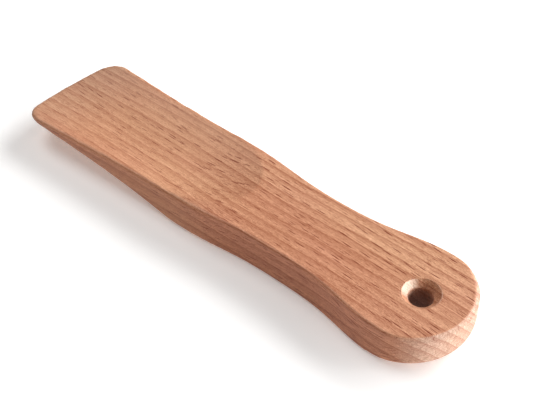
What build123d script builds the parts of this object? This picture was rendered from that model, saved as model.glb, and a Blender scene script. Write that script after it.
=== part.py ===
import os
from math import asin, atan2, cos, hypot, radians, sin, sqrt, tan
from build123d import *

os.makedirs("parts", exist_ok=True)

# Hand-held shoehorn, carved from one board of beech. All sizes in mm.
# +X runs along the grain toward the handle end, +Z points up, and the
# origin is the middle of the footprint at the height of the flat underside.

# driving dimensions
overall_length = 188.0
board_thickness = 14.2

# outline, as half widths at stations measured from the tip or from the handle
# end; the bulb keeps its full width over a straight run before the end arc
tip_half_width = 22.2
blade_from_tip = 41.0
blade_half_width = 20.6
throat_from_tip = 72.0
throat_half_width = 19.6
shoulder_from_tip = 94.0
shoulder_half_width = 18.75
neck_from_end = 82.0
neck_half_width = 17.0
waist_from_end = 64.0
waist_half_width = 15.7
grip_from_end = 42.0
grip_half_width = 17.0
bulb_half_width = 20.1
bulb_run = 10.0
tip_arc_radius = 51.0
tip_corner_radius = 10.0

# handle end, as how far its arcs stand outside or inside the bulb's half width
end_arc_excess = 3.9
end_corner_inset = 1.8
dress_excess = 0.9

# concave scoop in the top of the blade
scoop_cross_radius = 76.5
scoop_run_radius = 208.0
scoop_depth = 2.75
scoop_seam_from_tip = 71.2
scoop_fall_angle = 1.3

# domed underside of the blade
belly_cross_radius = 60.0
belly_run_radius = 800.0
belly_start_from_tip = 82.5
belly_dip = 3.6
tip_thickness = 2.5

# hanging hole, countersunk on the top
hole_from_end = 17.1
hole_diameter = 8.0
countersink_diameter = 12.6
hole_break = 0.5

# dressing of the handle end
dress_bevel = 1.3
dress_round = 5.5

# sanded edges
top_round = 0.5
bottom_round = 1.2

tip_x = -overall_length / 2
end_x = overall_length / 2
blade_x = tip_x + blade_from_tip
throat_x = tip_x + throat_from_tip
shoulder_x = tip_x + shoulder_from_tip
scoop_seam_x = tip_x + scoop_seam_from_tip
belly_start_x = tip_x + belly_start_from_tip
neck_x = end_x - neck_from_end
waist_x = end_x - waist_from_end
grip_x = end_x - grip_from_end
hole_x = end_x - hole_from_end
end_arc_radius = bulb_half_width + end_arc_excess
end_corner_radius = bulb_half_width - end_corner_inset
dress_radius = bulb_half_width + dress_excess
dress_wall = dress_radius + dress_bevel
dress_x = end_x - dress_wall
tip_corner_x = tip_x + tip_arc_radius - sqrt(tip_arc_radius**2 - tip_half_width**2)
end_corner_x = end_x - end_arc_radius + sqrt(end_arc_radius**2 - bulb_half_width**2)
bulb_x = end_corner_x - bulb_run
reach = 2 * overall_length

# waste below the blade, cut to a domed underside that bows up to the tip's thickness
scoop_fall = radians(scoop_fall_angle)
tip_top = board_thickness - scoop_depth - scoop_seam_from_tip * tan(scoop_fall)
tip_bottom = tip_top - tip_thickness
belly_climb = tip_bottom + belly_dip
belly_chord = hypot(belly_start_from_tip, belly_climb)
belly_bow = asin(belly_chord / 2 / belly_run_radius)
belly_rise = atan2(belly_climb, belly_start_from_tip) + belly_bow
belly_plane = Plane(
    origin=(belly_start_x, 0, -belly_dip),
    x_dir=(0, -1, 0),
    z_dir=(-cos(belly_rise), 0, sin(belly_rise)),
)
belly_centre = belly_plane.from_local_coords((0, -belly_run_radius, 0))
with BuildPart() as belly_waste:
    with BuildSketch(belly_plane) as belly_section:
        with Locations((0, -15)):
            Rectangle(60, 60)
        with Locations((0, belly_cross_radius)):
            Circle(belly_cross_radius, mode=Mode.SUBTRACT)
    revolve(belly_section.sketch, axis=Axis(belly_centre, (0, -1, 0)), revolution_arc=8)

# waste above the scoop, a dished run-out at the handle side and a trough
# that falls gently from there to the tip
scoop_plane = Plane(
    origin=(scoop_seam_x, 0, board_thickness - scoop_depth),
    x_dir=(0, -1, 0),
    z_dir=(-cos(scoop_fall), 0, -sin(scoop_fall)),
)
run_centre = scoop_plane.from_local_coords((0, scoop_run_radius, 0))
with BuildPart() as scoop_waste:
    with BuildSketch(scoop_plane) as scoop_section:
        with Locations((0, scoop_cross_radius)):
            Circle(scoop_cross_radius)
        with Locations((0, 6)):
            Rectangle(70, 13, mode=Mode.INTERSECT)
    extrude(amount=overall_length)
    revolve(scoop_section.sketch, axis=Axis(run_centre, (0, -1, 0)), revolution_arc=15)

# ring of waste around the handle end, beveled above and rounded below
with BuildPart() as end_waste:
    with BuildSketch(Plane.XZ):
        with BuildLine():
            Polyline(
                (dress_wall - dress_round, 0),
                (dress_wall - dress_round, -1),
                (dress_wall + 20, -1),
                (dress_wall + 20, board_thickness + 1),
                (dress_radius, board_thickness + 1),
                (dress_radius, board_thickness),
                (dress_wall, board_thickness - dress_bevel),
                (dress_wall, dress_round),
            )
            TangentArc((dress_wall, dress_round), (dress_wall - dress_round, 0), tangent=(0, -1))
        make_face()
    revolve(axis=Axis.Z, revolution_arc=180)


def wall_edges(builder, above):
    """Edges that run along the top or the bottom of the upright walls."""
    found = ShapeList()
    for wall in builder.faces().filter_by(lambda face: abs(face.normal_at().Z) < 0.01):
        middle = wall.center().Z
        rim = wall.edges().filter_by(lambda edge: abs(edge.tangent_at(0.5).Z) < 0.7)
        found += rim.filter_by(lambda edge: (edge.center().Z > middle) == above)
    return found


with BuildPart() as shoehorn:
    # board cut to the outline
    with BuildSketch() as outline:
        with BuildLine():
            ThreePointArc(
                (tip_corner_x, -tip_half_width),
                (tip_x, 0),
                (tip_corner_x, tip_half_width),
            )
            far_side = Spline(
                (tip_corner_x, tip_half_width),
                (blade_x, blade_half_width),
                (throat_x, throat_half_width),
                (shoulder_x, shoulder_half_width),
                (neck_x, neck_half_width),
                (waist_x, waist_half_width),
                (grip_x, grip_half_width),
                (bulb_x, bulb_half_width),
                tangents=[(1, -0.03), (1, 0)],
            )
            far_run = Line((bulb_x, bulb_half_width), (end_corner_x, bulb_half_width))
            ThreePointArc(
                (end_corner_x, bulb_half_width),
                (end_x, 0),
                (end_corner_x, -bulb_half_width),
            )
            mirror(far_side, about=Plane.XZ)
            mirror(far_run, about=Plane.XZ)
        make_face()
        tip_corners = outline.vertices().sort_by(Axis.X)[:2]
        fillet(tip_corners, radius=tip_corner_radius)
        end_corners = outline.vertices().sort_by(Axis.X)[-2:]
        fillet(end_corners, radius=end_corner_radius)
    extrude(amount=board_thickness)

    # domed underside and scooped top of the blade
    add(belly_waste.part, mode=Mode.SUBTRACT)
    add(scoop_waste.part, mode=Mode.SUBTRACT)

    # sanded edges all round, softer below than above
    fillet(wall_edges(shoehorn, above=False), radius=bottom_round)
    fillet(wall_edges(shoehorn, above=True), radius=top_round)

    # dressed handle end
    with Locations(Location((dress_x, 0, 0), (0, 0, -90))):
        add(end_waste.part, mode=Mode.SUBTRACT)

    # hanging hole
    with Locations((hole_x, 0, board_thickness)):
        CounterSinkHole(
            radius=hole_diameter / 2,
            counter_sink_radius=countersink_diameter / 2,
            counter_sink_angle=90,
        )
    lower_circles = shoehorn.edges().filter_by(GeomType.CIRCLE).group_by(Axis.Z)[0]
    hole_rim = lower_circles.filter_by(lambda edge: abs(edge.radius - hole_diameter / 2) < 0.01)
    chamfer(hole_rim, length=hole_break)

shoehorn.part.label = "shoehorn"
export_step(shoehorn.part, "parts/shoehorn.step")
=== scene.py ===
import math

import bpy
import numpy as np
from mathutils import Matrix, Vector
from mathutils.bvhtree import BVHTree
from mathutils.kdtree import KDTree


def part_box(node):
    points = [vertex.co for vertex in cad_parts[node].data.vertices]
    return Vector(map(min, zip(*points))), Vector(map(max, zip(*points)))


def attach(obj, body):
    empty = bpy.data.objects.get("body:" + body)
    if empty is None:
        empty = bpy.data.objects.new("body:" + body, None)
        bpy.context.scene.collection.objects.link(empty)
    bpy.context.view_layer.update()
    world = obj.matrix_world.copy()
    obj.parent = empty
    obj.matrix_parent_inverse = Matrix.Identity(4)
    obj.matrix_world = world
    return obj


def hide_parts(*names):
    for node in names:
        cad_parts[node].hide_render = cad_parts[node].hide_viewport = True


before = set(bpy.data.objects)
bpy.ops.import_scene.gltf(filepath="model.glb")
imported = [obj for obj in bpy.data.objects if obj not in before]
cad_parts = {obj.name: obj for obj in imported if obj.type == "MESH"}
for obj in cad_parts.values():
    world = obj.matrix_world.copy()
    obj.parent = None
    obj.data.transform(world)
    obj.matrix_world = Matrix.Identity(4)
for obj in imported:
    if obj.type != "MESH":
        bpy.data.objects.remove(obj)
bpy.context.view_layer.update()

scene = bpy.context.scene
scene.view_settings.view_transform = "Standard"
scene.view_settings.look = "None"

MM = 0.001


# ---------------------------------------------------------------- node helpers
class Graph:
    """A material's node tree, built with short calls that return sockets."""

    def __init__(self, name):
        self.material = bpy.data.materials.new(name)
        self.material.use_nodes = True
        self.tree = self.material.node_tree
        self.tree.nodes.clear()

    def node(self, kind, **settings):
        made = self.tree.nodes.new(kind)
        for key, value in settings.items():
            setattr(made, key, value)
        return made

    def put(self, value, socket):
        if isinstance(value, bpy.types.NodeSocket):
            self.tree.links.new(value, socket)
        elif value is not None:
            socket.default_value = value

    def math(self, operation, *values):
        made = self.node("ShaderNodeMath", operation=operation)
        for value, socket in zip(values, made.inputs):
            self.put(value, socket)
        return made.outputs[0]

    def vector(self, operation, *values):
        made = self.node("ShaderNodeVectorMath", operation=operation)
        for value, socket in zip(values, made.inputs):
            self.put(value, socket)
        return made.outputs["Value" if operation in ("LENGTH", "DOT_PRODUCT") else "Vector"]

    def split(self, vector):
        made = self.node("ShaderNodeSeparateXYZ")
        self.put(vector, made.inputs[0])
        return made.outputs[0], made.outputs[1], made.outputs[2]

    def join(self, x, y, z):
        made = self.node("ShaderNodeCombineXYZ")
        for value, socket in zip((x, y, z), made.inputs):
            self.put(value, socket)
        return made.outputs[0]

    def noise(self, vector, detail, rough=0.5, colour=False):
        made = self.node("ShaderNodeTexNoise", noise_dimensions="3D")
        self.put(vector, made.inputs["Vector"])
        made.inputs["Scale"].default_value = 1.0
        made.inputs["Detail"].default_value = detail
        made.inputs["Roughness"].default_value = rough
        return made.outputs["Color" if colour else 0]

    def ramp(self, value, low, high, to_low=0.0, to_high=1.0, smooth=False):
        """From to_low at low to to_high at high, and level outside them."""
        made = self.node("ShaderNodeMapRange", clamp=True)
        made.interpolation_type = "SMOOTHSTEP" if smooth else "LINEAR"
        self.put(value, made.inputs["Value"])
        numbers = {"From Min": low, "From Max": high, "To Min": to_low, "To Max": to_high}
        for key, number in numbers.items():
            made.inputs[key].default_value = number
        return made.outputs[0]

    def curve(self, value, *points):
        """A piecewise linear function of value, from (place, height) points."""
        made = self.node("ShaderNodeValToRGB")
        elements = made.color_ramp.elements
        elements[0].position, elements[1].position = points[0][0], points[-1][0]
        for place, height in points[1:-1]:
            elements.new(place)
        for place, height in points:
            nearest = min(elements, key=lambda element: abs(element.position - place))
            nearest.color = (height, height, height, 1)
        self.put(value, made.inputs[0])
        return made.outputs[0]

    def mix(self, factor, a, b):
        made = self.node("ShaderNodeMix", data_type="RGBA")
        self.put(factor, made.inputs[0])
        self.put(a, made.inputs[6])
        self.put(b, made.inputs[7])
        return made.outputs[2]

    def tinted(self, factor, colour, tint):
        """The colour where factor is 0, and its product with the tint where factor is 1."""
        return self.mix(factor, colour, self.vector("MULTIPLY", colour, tint))

    def spread(self, value, reach):
        """A noise as a shade from -reach to reach."""
        return self.ramp(value, 0.2, 0.8, -reach, reach)

    def stretched(self, vector, per_mm, detail, rough=0.5, colour=False):
        """Noise with its own number of features per mm along each axis."""
        return self.noise(self.vector("MULTIPLY", vector, per_mm), detail, rough, colour)


def srgb(r, g, b):
    """An 8 bit display colour as the linear colour that a shader takes."""
    linear = [(v / 255 / 12.92) if v < 11 else ((v / 255 + 0.055) / 1.055) ** 2.4 for v in (r, g, b)]
    return (*linear, 1.0)


# ------------------------------------------------------------------- the wood
# The grain runs along X. Growth rings are cylinders about a pith line parallel
# to X, and rays are thin blades that reach outward from it. Sizes are in mm.
BOARD_MIDDLE_Z = 7.0
OUTWARD = (0.787, 0.617)
PITH_DISTANCE = 120.0
RING_WIDTH = 2.95
LINE_SPACING = 0.83
FIBRE_SLANT = (0.043, -0.034)
SLOW_WANDER = (0, 4.0, 4.0)
QUICK_WANDER = (0, 0.6, 0.6)

HOLE_X = 76.9
BORE_RADIUS = 4.0
COUNTERSINK_RADIUS = 6.3
BLADE_END, GRIP_START = -25.0, 5.0

EARLY_WOOD = srgb(208, 155, 120)
PINK_WOOD = srgb(204, 147, 116)
LATE_WOOD = srgb(150, 82, 52)
LATE_END_GRAIN = srgb(164, 104, 80)
# a pale colour painted on the countersink's lit wall as a highlight
COUNTERSINK_HIGHLIGHT = srgb(240, 214, 192)
SMALL_RAY = srgb(134, 58, 28)
BROAD_RAY = srgb(118, 42, 16)


def log_coordinates(g, place):
    """Distance out from the pith line and distance around it, with the grain's wander."""
    slow = g.stretched(place, (0.011, 0.03, 0.03), 1.0, colour=True)
    quick = g.stretched(place, (0.045, 0.12, 0.12), 1.0, colour=True)
    middle = (0.5, 0.5, 0.5)
    wander = g.vector("ADD",
                      g.vector("MULTIPLY", g.vector("SUBTRACT", slow, middle), SLOW_WANDER),
                      g.vector("MULTIPLY", g.vector("SUBTRACT", quick, middle), QUICK_WANDER))
    _, y, z = g.split(g.vector("ADD", place, wander))
    dy = g.math("ADD", y, PITH_DISTANCE * OUTWARD[0])
    dz = g.math("ADD", z, PITH_DISTANCE * OUTWARD[1] - BOARD_MIDDLE_Z)
    squared = g.math("ADD", g.math("MULTIPLY", dy, dy), g.math("MULTIPLY", dz, dz))
    out = g.math("SUBTRACT", g.math("SQRT", squared), PITH_DISTANCE)
    around = g.math("MULTIPLY", g.math("ARCTAN2", dz, dy), PITH_DISTANCE)
    return out, around


def repeating(g, distance, spacing, strengths, *profile):
    """Bands of the profile across the distance. A random number from 0 to 1, put through
    the ramp in strengths, is each band's own strength."""
    # counted from 100 so that the numbers stay positive
    count = g.math("ADD", g.math("DIVIDE", distance, spacing), 100.0)
    own = g.node("ShaderNodeTexWhiteNoise", noise_dimensions="1D")
    g.put(g.math("FLOOR", count), own.inputs["W"])
    strength = g.ramp(own.outputs["Value"], *strengths)
    return g.math("MULTIPLY", g.curve(g.math("FRACT", count), *profile), strength)


def growth_lines(g, x, out):
    """Growth rings, each darkening to a thin late line, and the finer lines between them.
    Both are uneven in width, as out is pushed along by a slow noise."""
    across = g.join(g.math("MULTIPLY", x, 0.004), g.math("MULTIPLY", out, 0.17), 3.7)
    uneven = g.noise(across, 1.0)
    rings = g.math("ADD", out, g.math("MULTIPLY", uneven, 2.6))
    late = repeating(g, rings, RING_WIDTH, (0.0, 1.0, 0.65, 1.0), (0.0, 0.7), (0.045, 0.02),
                     (0.3, 0.05), (0.7, 0.36), (0.9, 0.62), (0.96, 0.88), (1.0, 0.7))
    lines = g.math("ADD", out, g.math("MULTIPLY", uneven, 3.0))
    fine = repeating(g, lines, LINE_SPACING, (0.35, 1.0), (0.0, 0.6), (0.12, 0.0),
                     (0.55, 0.15), (0.85, 1.0), (1.0, 0.8))
    return late, fine


def rays(g, grain, cell, half, keep, seed):
    """Thin blades, each somewhere in its own cell and thicker towards one end. Cell and half
    are sizes along the grain, outward and around. A lower keep leaves more cells empty."""
    scaled = g.vector("ADD", g.vector("DIVIDE", grain, cell), (seed, seed * 1.7, seed * 0.6))
    cells = g.node("ShaderNodeTexVoronoi", voronoi_dimensions="3D", feature="F1")
    g.put(scaled, cells.inputs["Vector"])
    cells.inputs["Scale"].default_value = 1.0
    cells.inputs["Randomness"].default_value = 0.85
    own = g.split(cells.outputs["Color"])
    offset = g.vector("MULTIPLY", g.vector("SUBTRACT", scaled, cells.outputs["Position"]), cell)
    along, deep, across = g.split(g.vector("DIVIDE", offset, half))
    across = g.math("DIVIDE", across, g.math("MULTIPLY_ADD", along, 0.45, 1.0))
    size = g.ramp(own[1], 0.0, 1.0, 0.5, 1.2)
    far = g.math("DIVIDE", g.vector("LENGTH", g.join(along, deep, across)), size)
    body = g.ramp(far, 1.0, 0.5, smooth=True)
    return g.math("MULTIPLY", body, g.ramp(own[0], keep, keep - 0.35))


def beech():
    g = Graph("beech")
    object_place = g.node("ShaderNodeTexCoord").outputs["Object"]
    place = g.vector("MULTIPLY", object_place, (1 / MM, 1 / MM, 1 / MM))
    x, y, z = g.split(place)
    out, around = log_coordinates(g, place)
    # the fibres run at a slight slant to the rings
    grain = g.join(x, g.math("MULTIPLY_ADD", x, FIBRE_SLANT[0], out),
                   g.math("MULTIPLY_ADD", x, FIBRE_SLANT[1], around))
    late, fine = growth_lines(g, x, out)

    # streaks of coarser and finer pores
    broad = g.stretched(grain, (0.008, 0.30, 0.30), 1.0)
    streak = g.stretched(grain, (0.03, 1.1, 1.1), 0.0)
    hair = g.stretched(grain, (0.13, 2.3, 2.3), 0.0)
    pores = g.stretched(grain, (0.5, 5.0, 5.0), 1.0)
    speck = g.stretched(grain, (1.5, 6.0, 6.0), 0.0)
    torn_grain = g.stretched(grain, (0.9, 1.3, 1.3), 2.0, 0.6)

    # where the surface is, and which way it faces
    facing = g.node("ShaderNodeNewGeometry").outputs["Normal"]
    normal = g.split(facing)
    from_hole = g.vector("LENGTH", g.vector("SUBTRACT", g.join(x, y, 0.0), (HOLE_X, 0, 0)))
    along_blade = g.math("ABSOLUTE", g.vector("DOT_PRODUCT", facing, (0, -OUTWARD[1], OUTWARD[0])))
    # walls that face sideways, along Y, for the painted shade below
    painted_side_shade = g.ramp(g.math("ABSOLUTE", normal[1]), 0.55, 0.9, smooth=True)
    # end grain shows where the surface faces along the grain, outside the hole
    end = g.math("MULTIPLY", g.ramp(g.math("ABSOLUTE", normal[0]), 0.22, 0.62, smooth=True),
                 g.ramp(from_hole, COUNTERSINK_RADIUS - 0.1, COUNTERSINK_RADIUS + 0.5))

    # rays are left out of the hole, and fade on the blade and where the surface lies along them
    shown = g.math("MULTIPLY", g.ramp(from_hole, COUNTERSINK_RADIUS, COUNTERSINK_RADIUS + 1.0),
                   g.ramp(along_blade, 0.84, 0.94, 1.0, 0.2))
    shown = g.math("MULTIPLY", shown, g.ramp(x, -30.0, GRIP_START, 0.72, 1.0))
    broad_rays = rays(g, grain, cell=(5.8, 2.6, 0.85), half=(2.8, 1.2, 0.13), keep=1.0, seed=0.0)
    small_rays = rays(g, grain, cell=(3.0, 2.0, 0.55), half=(1.3, 0.8, 0.075), keep=0.85, seed=11.3)
    broad_rays = g.math("MULTIPLY", broad_rays, shown)
    small_rays = g.math("MULTIPLY", small_rays, shown)

    # the wood is painted paler and whiter towards the far side as a painted sheen, redder in the middle
    # of the grip and greyer at the tip
    tint = g.stretched(place, (0.02, 0.06, 0.06), 2.0)
    base = g.mix(g.ramp(tint, 0.3, 0.7), EARLY_WOOD, PINK_WOOD)
    far_side_sheen = g.ramp(out, 3.0, 13.0, smooth=True)
    red = g.math("MULTIPLY", g.ramp(x, -15.0, 15.0, smooth=True), g.math("SUBTRACT", 1.0, far_side_sheen))
    red = g.math("MULTIPLY", red, g.ramp(x, 58.0, 84.0, 1.0, 0.2, smooth=True))
    grey = g.ramp(x, -60.0, -92.0, smooth=True)
    # painted sheen: the far side is lightened and whitened
    base = g.tinted(g.math("MULTIPLY", far_side_sheen, 0.6), base, (1.10, 1.13, 1.15))
    base = g.tinted(red, base, (0.96, 0.885, 0.865))
    base = g.tinted(grey, base, (0.92, 1.0, 1.06))
    # painted shade: walls that face sideways are darkened, more in green and blue
    base = g.tinted(painted_side_shade, base, (0.89, 0.80, 0.75))
    # faces along the grain are paler and whiter: partly the end grain's own colour, partly a painted
    # sheen
    base = g.tinted(end, base, (0.98, 1.29, 1.6))

    # the pores shade it, less on the blade, and torn fibres shade the end grain
    shade = g.math("ADD", g.spread(broad, 0.07), g.spread(streak, 0.08))
    for noise, reach in ((hair, 0.13), (pores, 0.25), (speck, 0.24)):
        shade = g.math("ADD", shade, g.spread(noise, reach))
    shade = g.math("MULTIPLY", shade, g.ramp(x, BLADE_END, GRIP_START, 0.72, 1.0, smooth=True))
    torn_shade = g.math("MULTIPLY", end, g.ramp(torn_grain, 0.25, 0.75, -0.2, 0.2))
    shade = g.math("ADD", shade, torn_shade)
    # darker wood is also redder
    shade = g.join(shade, shade, shade)
    tone = g.vector("MULTIPLY_ADD", shade, (0.85, 1.15, 1.3), (1, 1, 1))
    colour = g.vector("MULTIPLY", base, tone)

    # lines and rays
    dark = g.mix(end, LATE_WOOD, LATE_END_GRAIN)
    late = g.math("MULTIPLY", late, g.ramp(x, BLADE_END, GRIP_START, 0.68, 0.92))
    fine = g.math("MULTIPLY", fine, g.ramp(x, BLADE_END, GRIP_START, 0.2, 0.24))
    colour = g.mix(late, colour, dark)
    colour = g.mix(fine, colour, dark)
    colour = g.mix(g.math("MULTIPLY", small_rays, 0.7), colour, SMALL_RAY)
    broad_strength = g.math("MULTIPLY", broad_rays, g.ramp(end, 0.0, 1.0, 1.0, 0.5))
    colour = g.mix(broad_strength, colour, BROAD_RAY)

    # painted shade greys and darkens the bore, more deeper down, and the countersink's wall that faces +X
    # is painted pale as a painted highlight
    painted_bore_shade = g.math("MULTIPLY", g.ramp(from_hole, BORE_RADIUS + 0.6, BORE_RADIUS + 0.1),
                  g.ramp(z, 12.8, 10.5))
    # painted shade in the bore
    colour = g.tinted(painted_bore_shade, colour, (0.78, 1.0, 1.3))
    cone = g.math("MULTIPLY", g.ramp(from_hole, COUNTERSINK_RADIUS + 0.3, COUNTERSINK_RADIUS - 0.3),
                  g.ramp(from_hole, BORE_RADIUS, BORE_RADIUS + 0.4))
    # painted highlight: the countersink wall that faces +X is painted pale
    countersink_highlight = g.math("MULTIPLY", cone, g.ramp(normal[0], 0.46, 0.68))
    colour = g.mix(g.math("MULTIPLY", countersink_highlight, 0.85), colour, COUNTERSINK_HIGHLIGHT)

    # relief: pores and rays, torn end grain, and the cutter's chatter in the hole
    chatter = g.stretched(place, (1.7, 1.7, 0.9), 2.0, 0.6)
    in_hole = g.ramp(from_hole, COUNTERSINK_RADIUS + 0.2, COUNTERSINK_RADIUS)
    height = g.math("ADD", g.math("MULTIPLY", pores, 0.5), g.math("MULTIPLY", hair, 0.2))
    height = g.math("SUBTRACT", height, g.math("MULTIPLY", broad_rays, 0.3))
    height = g.math("ADD", height, g.math("MULTIPLY", end, g.math("MULTIPLY", torn_grain, 6.0)))
    height = g.math("ADD", height, g.math("MULTIPLY", in_hole, g.math("MULTIPLY", chatter, 14.0)))
    bump = g.node("ShaderNodeBump")
    bump.inputs["Strength"].default_value = 1.0
    bump.inputs["Distance"].default_value = 0.025 * MM
    g.put(height, bump.inputs["Height"])

    rough = g.math("ADD", g.ramp(streak, 0.2, 0.8, 0.40, 0.50), g.math("MULTIPLY", end, 0.2))
    shader = g.node("ShaderNodeBsdfPrincipled")
    g.put(colour, shader.inputs["Base Color"])
    g.put(rough, shader.inputs["Roughness"])
    g.put(bump.outputs[0], shader.inputs["Normal"])
    shader.inputs["IOR"].default_value = 1.45
    shader.inputs["Specular IOR Level"].default_value = 0.35
    g.put(shader.outputs[0], g.node("ShaderNodeOutputMaterial").inputs["Surface"])
    return g.material


# ---------------------------------------------------------- the carved surface
FINE_MESH = 0.465 * MM
CREASE_REACH = 0.47 * FINE_MESH
CREASE_ANGLE = math.radians(6)
CREASE_STEP = 0.08 * MM
BOW_SHARE = 0.75
BOW_LIMIT = 0.06 * MM


def fade(value, start, end):
    """0 before start and 1 after end, smoothly between; start may be above end."""
    t = np.clip((value - start) / (end - start), 0.0, 1.0)
    return t * t * (3 - 2 * t)


def remeshed(node, name):
    """The node's shape on a fine even mesh, with every point on the node's surface."""
    draft = bpy.data.objects.new(name + "_draft", node.data.copy())
    scene.collection.objects.link(draft)
    modifier = draft.modifiers.new("even", "REMESH")
    modifier.mode = "VOXEL"
    modifier.voxel_size = FINE_MESH
    graph = bpy.context.evaluated_depsgraph_get()
    mesh = bpy.data.meshes.new_from_object(draft.evaluated_get(graph))
    bpy.data.objects.remove(draft)
    mesh.name = name
    piece = bpy.data.objects.new(name, mesh)
    scene.collection.objects.link(piece)

    points = on_surface(node.data, np.array([v.co for v in mesh.vertices]))
    return piece, snapped(points, creases(node.data)) / MM


def on_surface(source, points):
    """Each point moved to the nearest place on the source mesh, bowed out between the
    facet's corners as their normals say, so that the flat facets don't show."""
    corners = np.array([v.co for v in source.vertices])
    faces = np.array([p.vertices for p in source.polygons])
    normals = np.array([n.vector for n in source.corner_normals]).reshape(-1, 3, 3)
    shape = BVHTree.FromPolygons(corners.tolist(), faces.tolist())
    hits = [shape.find_nearest(p) for p in points.tolist()]
    flat = np.array([hit[0] for hit in hits])
    face = np.array([hit[2] for hit in hits])
    a, b, c = (corners[faces[face, k]] for k in range(3))
    whole = np.cross(b - a, c - a)
    area = (whole**2).sum(axis=1) + 1e-30
    shares = [(np.cross(q - p, flat - p) * whole).sum(axis=1) / area for p, q in ((b, c), (c, a), (a, b))]
    bowed = np.zeros_like(flat)
    for k, (corner, share) in enumerate(zip((a, b, c), shares)):
        normal = normals[face, k]
        lift = ((corner - flat) * normal).sum(axis=1)[:, None] * normal
        bowed += np.clip(share, 0, 1)[:, None] * (flat + lift)
    moved = BOW_SHARE * (bowed - flat)
    size = np.linalg.norm(moved, axis=1)[:, None]
    return flat + moved * np.minimum(1, BOW_LIMIT / (size + 1e-12))


def creases(source):
    """Close-set points along the source's sharp edges."""
    corners = np.array([v.co for v in source.vertices])
    places, same = np.unique(np.round(corners / MM, 3), axis=0, return_inverse=True)
    same = same.ravel()
    normals = np.array([n.vector for n in source.corner_normals])
    beside = {}
    for face in source.polygons:
        loops = list(face.loop_indices)
        for i in range(3):
            j, k = loops[i], loops[(i + 1) % 3]
            p, q = same[source.loops[j].vertex_index], same[source.loops[k].vertex_index]
            ends = (normals[j], normals[k]) if p < q else (normals[k], normals[j])
            beside.setdefault((min(p, q), max(p, q)), []).append(ends)
    sharp = []
    for (p, q), sides in beside.items():
        if len(sides) != 2:
            continue
        agreement = min(sides[0][0] @ sides[1][0], sides[0][1] @ sides[1][1])
        if agreement < math.cos(CREASE_ANGLE):
            start, end = places[p] * MM, places[q] * MM
            count = int(np.linalg.norm(end - start) / CREASE_STEP) + 2
            sharp.append(start + np.linspace(0, 1, count)[:, None] * (end - start))
    return np.concatenate(sharp)


def snapped(points, targets):
    """Points within CREASE_REACH of a target move onto it, so the mesh follows the creases."""
    tree = KDTree(len(targets))
    for i, target in enumerate(targets.tolist()):
        tree.insert(target, i)
    tree.balance()
    moved = points.copy()
    for i, point in enumerate(points.tolist()):
        place, _, distance = tree.find(point)
        if distance < CREASE_REACH:
            moved[i] = place
    return moved


def smoothed(points, edges, weight, rounds):
    """Each point moved towards the mean of its neighbours by its own weight, which
    softens edges and leaves flats as they are."""
    a, b = edges[:, 0], edges[:, 1]
    count = np.bincount(edges.ravel(), minlength=len(points))[:, None]
    for _ in range(rounds):
        total = np.zeros_like(points)
        for k in range(3):
            total[:, k] = np.bincount(a, points[b, k], len(points))
            total[:, k] += np.bincount(b, points[a, k], len(points))
        points = points + weight[:, None] * (total / count - points)
    return points


wood = beech()
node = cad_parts["shoehorn"]
piece, points = remeshed(node, "beech_shoehorn")
edges = np.empty(2 * len(piece.data.edges), np.int32)
piece.data.edges.foreach_get("vertices", edges)
edges = edges.reshape(-1, 2)
tip_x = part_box("shoehorn")[0][0] / MM
TIP_ARC_DIAMETER = 102.0
SIDE_RIM = (13.5, 16.5)
TIP_RIM = (7.0, 4.0)
BLADE_RIM = (14.0, -8.0)
EDGE_ROUNDS = 22
HALF_WIDTH = 20.0
LEAN_LENGTH, SKEW_LENGTH = 64.0, 39.0
TIP_SKEW, TIP_TWIST, TIP_LEAN = 0.9, 0.6, 0.2
SWELL_X, SWELL_LENGTH, SIDE_SWELL = 33.0, 16.0, 0.4

# every edge has been sanded a little, the blade's edges more and the handle end's least
points = smoothed(points, edges, 0.5 - 0.35 * fade(points[:, 0], 55.0, 65.0), 1)
x, y, z = points.T
from_tip = x - tip_x - y**2 / TIP_ARC_DIAMETER
rim = np.maximum(fade(np.abs(y), *SIDE_RIM), fade(from_tip, *TIP_RIM))
points = smoothed(points, edges, 0.5 * rim * fade(x, *BLADE_RIM), EDGE_ROUNDS)

# the blade was shaped by hand: its tip leans, turns and twists a little, and the grip's
# -Y side swells slightly
x, y, z = points.T
lean = fade(x, tip_x + LEAN_LENGTH, tip_x)
skew = fade(x, tip_x + SKEW_LENGTH, tip_x)
x = x + TIP_SKEW * skew * y / HALF_WIDTH
z = z + TIP_TWIST * lean * y / HALF_WIDTH
swell = np.exp(-((x - SWELL_X) / SWELL_LENGTH) ** 2) * fade(y, 0.0, -10.0)
y = y - TIP_LEAN * lean - SIDE_SWELL * swell
points = np.stack([x, y, z], axis=1)

piece.data.vertices.foreach_set("co", (points * MM).astype(np.float32).ravel())
piece.data.polygons.foreach_set("use_smooth", np.ones(len(piece.data.polygons), bool))
piece.data.update()
piece.data.materials.clear()
piece.data.materials.append(wood)
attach(piece, "root")
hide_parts("shoehorn")

# ------------------------------------------------------------------ the stage
def plain(name, colour, rough, glow):
    g = Graph(name)
    shader = g.node("ShaderNodeBsdfPrincipled")
    shader.inputs["Base Color"].default_value = colour
    shader.inputs["Roughness"].default_value = rough
    shader.inputs["Emission Color"].default_value = (1, 1, 1, 1)
    shader.inputs["Emission Strength"].default_value = glow
    g.put(shader.outputs[0], g.node("ShaderNodeOutputMaterial").inputs["Surface"])
    return g.material


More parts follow.
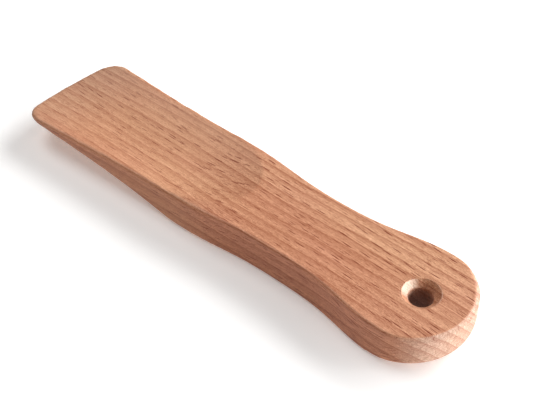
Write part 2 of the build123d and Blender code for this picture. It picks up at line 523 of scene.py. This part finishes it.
FLOOR_SIZE = 12.0
bpy.ops.mesh.primitive_plane_add(size=FLOOR_SIZE, location=(0, 0, 0))
floor = bpy.context.object
floor.name = "floor"
floor.data.materials.append(plain("pale_floor", (0.92, 0.92, 0.92, 1), 0.9, 0.25))


LIGHT_DISTANCE = 1.6


def light(name, azimuth, elevation, size, power, colour=(1, 1, 1)):
    """A round soft light, aimed at the origin. Azimuth 0 is +X and 90 is +Y."""
    lamp = bpy.data.lights.new(name, "AREA")
    lamp.shape = "DISK"
    lamp.size = size
    lamp.energy = power
    lamp.color = colour
    holder = bpy.data.objects.new(name, lamp)
    scene.collection.objects.link(holder)
    a, e = math.radians(azimuth), math.radians(elevation)
    way = Vector((math.cos(a) * math.cos(e), math.sin(a) * math.cos(e), math.sin(e)))
    holder.location = way * LIGHT_DISTANCE
    holder.rotation_euler = (-way).to_track_quat("-Z", "Y").to_euler()


light("low_window_right", 2, 13, 0.8, 13.5)
light("low_window_left", 30, 13, 0.8, 15.5)
light("high_window_right", 50, 32, 0.9, 11.5)
light("high_window_left", 80, 32, 0.9, 17.0)
light("overhead", 180, 58, 0.9, 9.0)
light("warm_fill", 235, 14, 0.9, 3.0, (1.0, 0.6, 0.3))

world = bpy.data.worlds.new("soft_room")
world.use_nodes = True
background = world.node_tree.nodes["Background"]
background.inputs["Color"].default_value = (1, 1, 1, 1)
background.inputs["Strength"].default_value = 0.03
scene.world = world

# ----------------------------------------------------------------- the camera
CAMERA_PLACE = Vector((182.6, -182.5, 243.9)) * MM
CAMERA_AIM = Vector((9.9, 3.4, 7.0)) * MM
CAMERA_ROLL = math.radians(-1.3)
CAMERA_LENS = 67.82

camera_data = bpy.data.cameras.new("camera")
camera_data.sensor_width = 36.0
camera_data.lens = CAMERA_LENS
camera_data.clip_start = 0.01
camera = bpy.data.objects.new("camera", camera_data)
scene.collection.objects.link(camera)
upright = (CAMERA_AIM - CAMERA_PLACE).to_track_quat("-Z", "Y").to_matrix().to_4x4()
camera.matrix_world = Matrix.Translation(CAMERA_PLACE) @ upright @ Matrix.Rotation(CAMERA_ROLL, 4, "Z")
scene.camera = camera
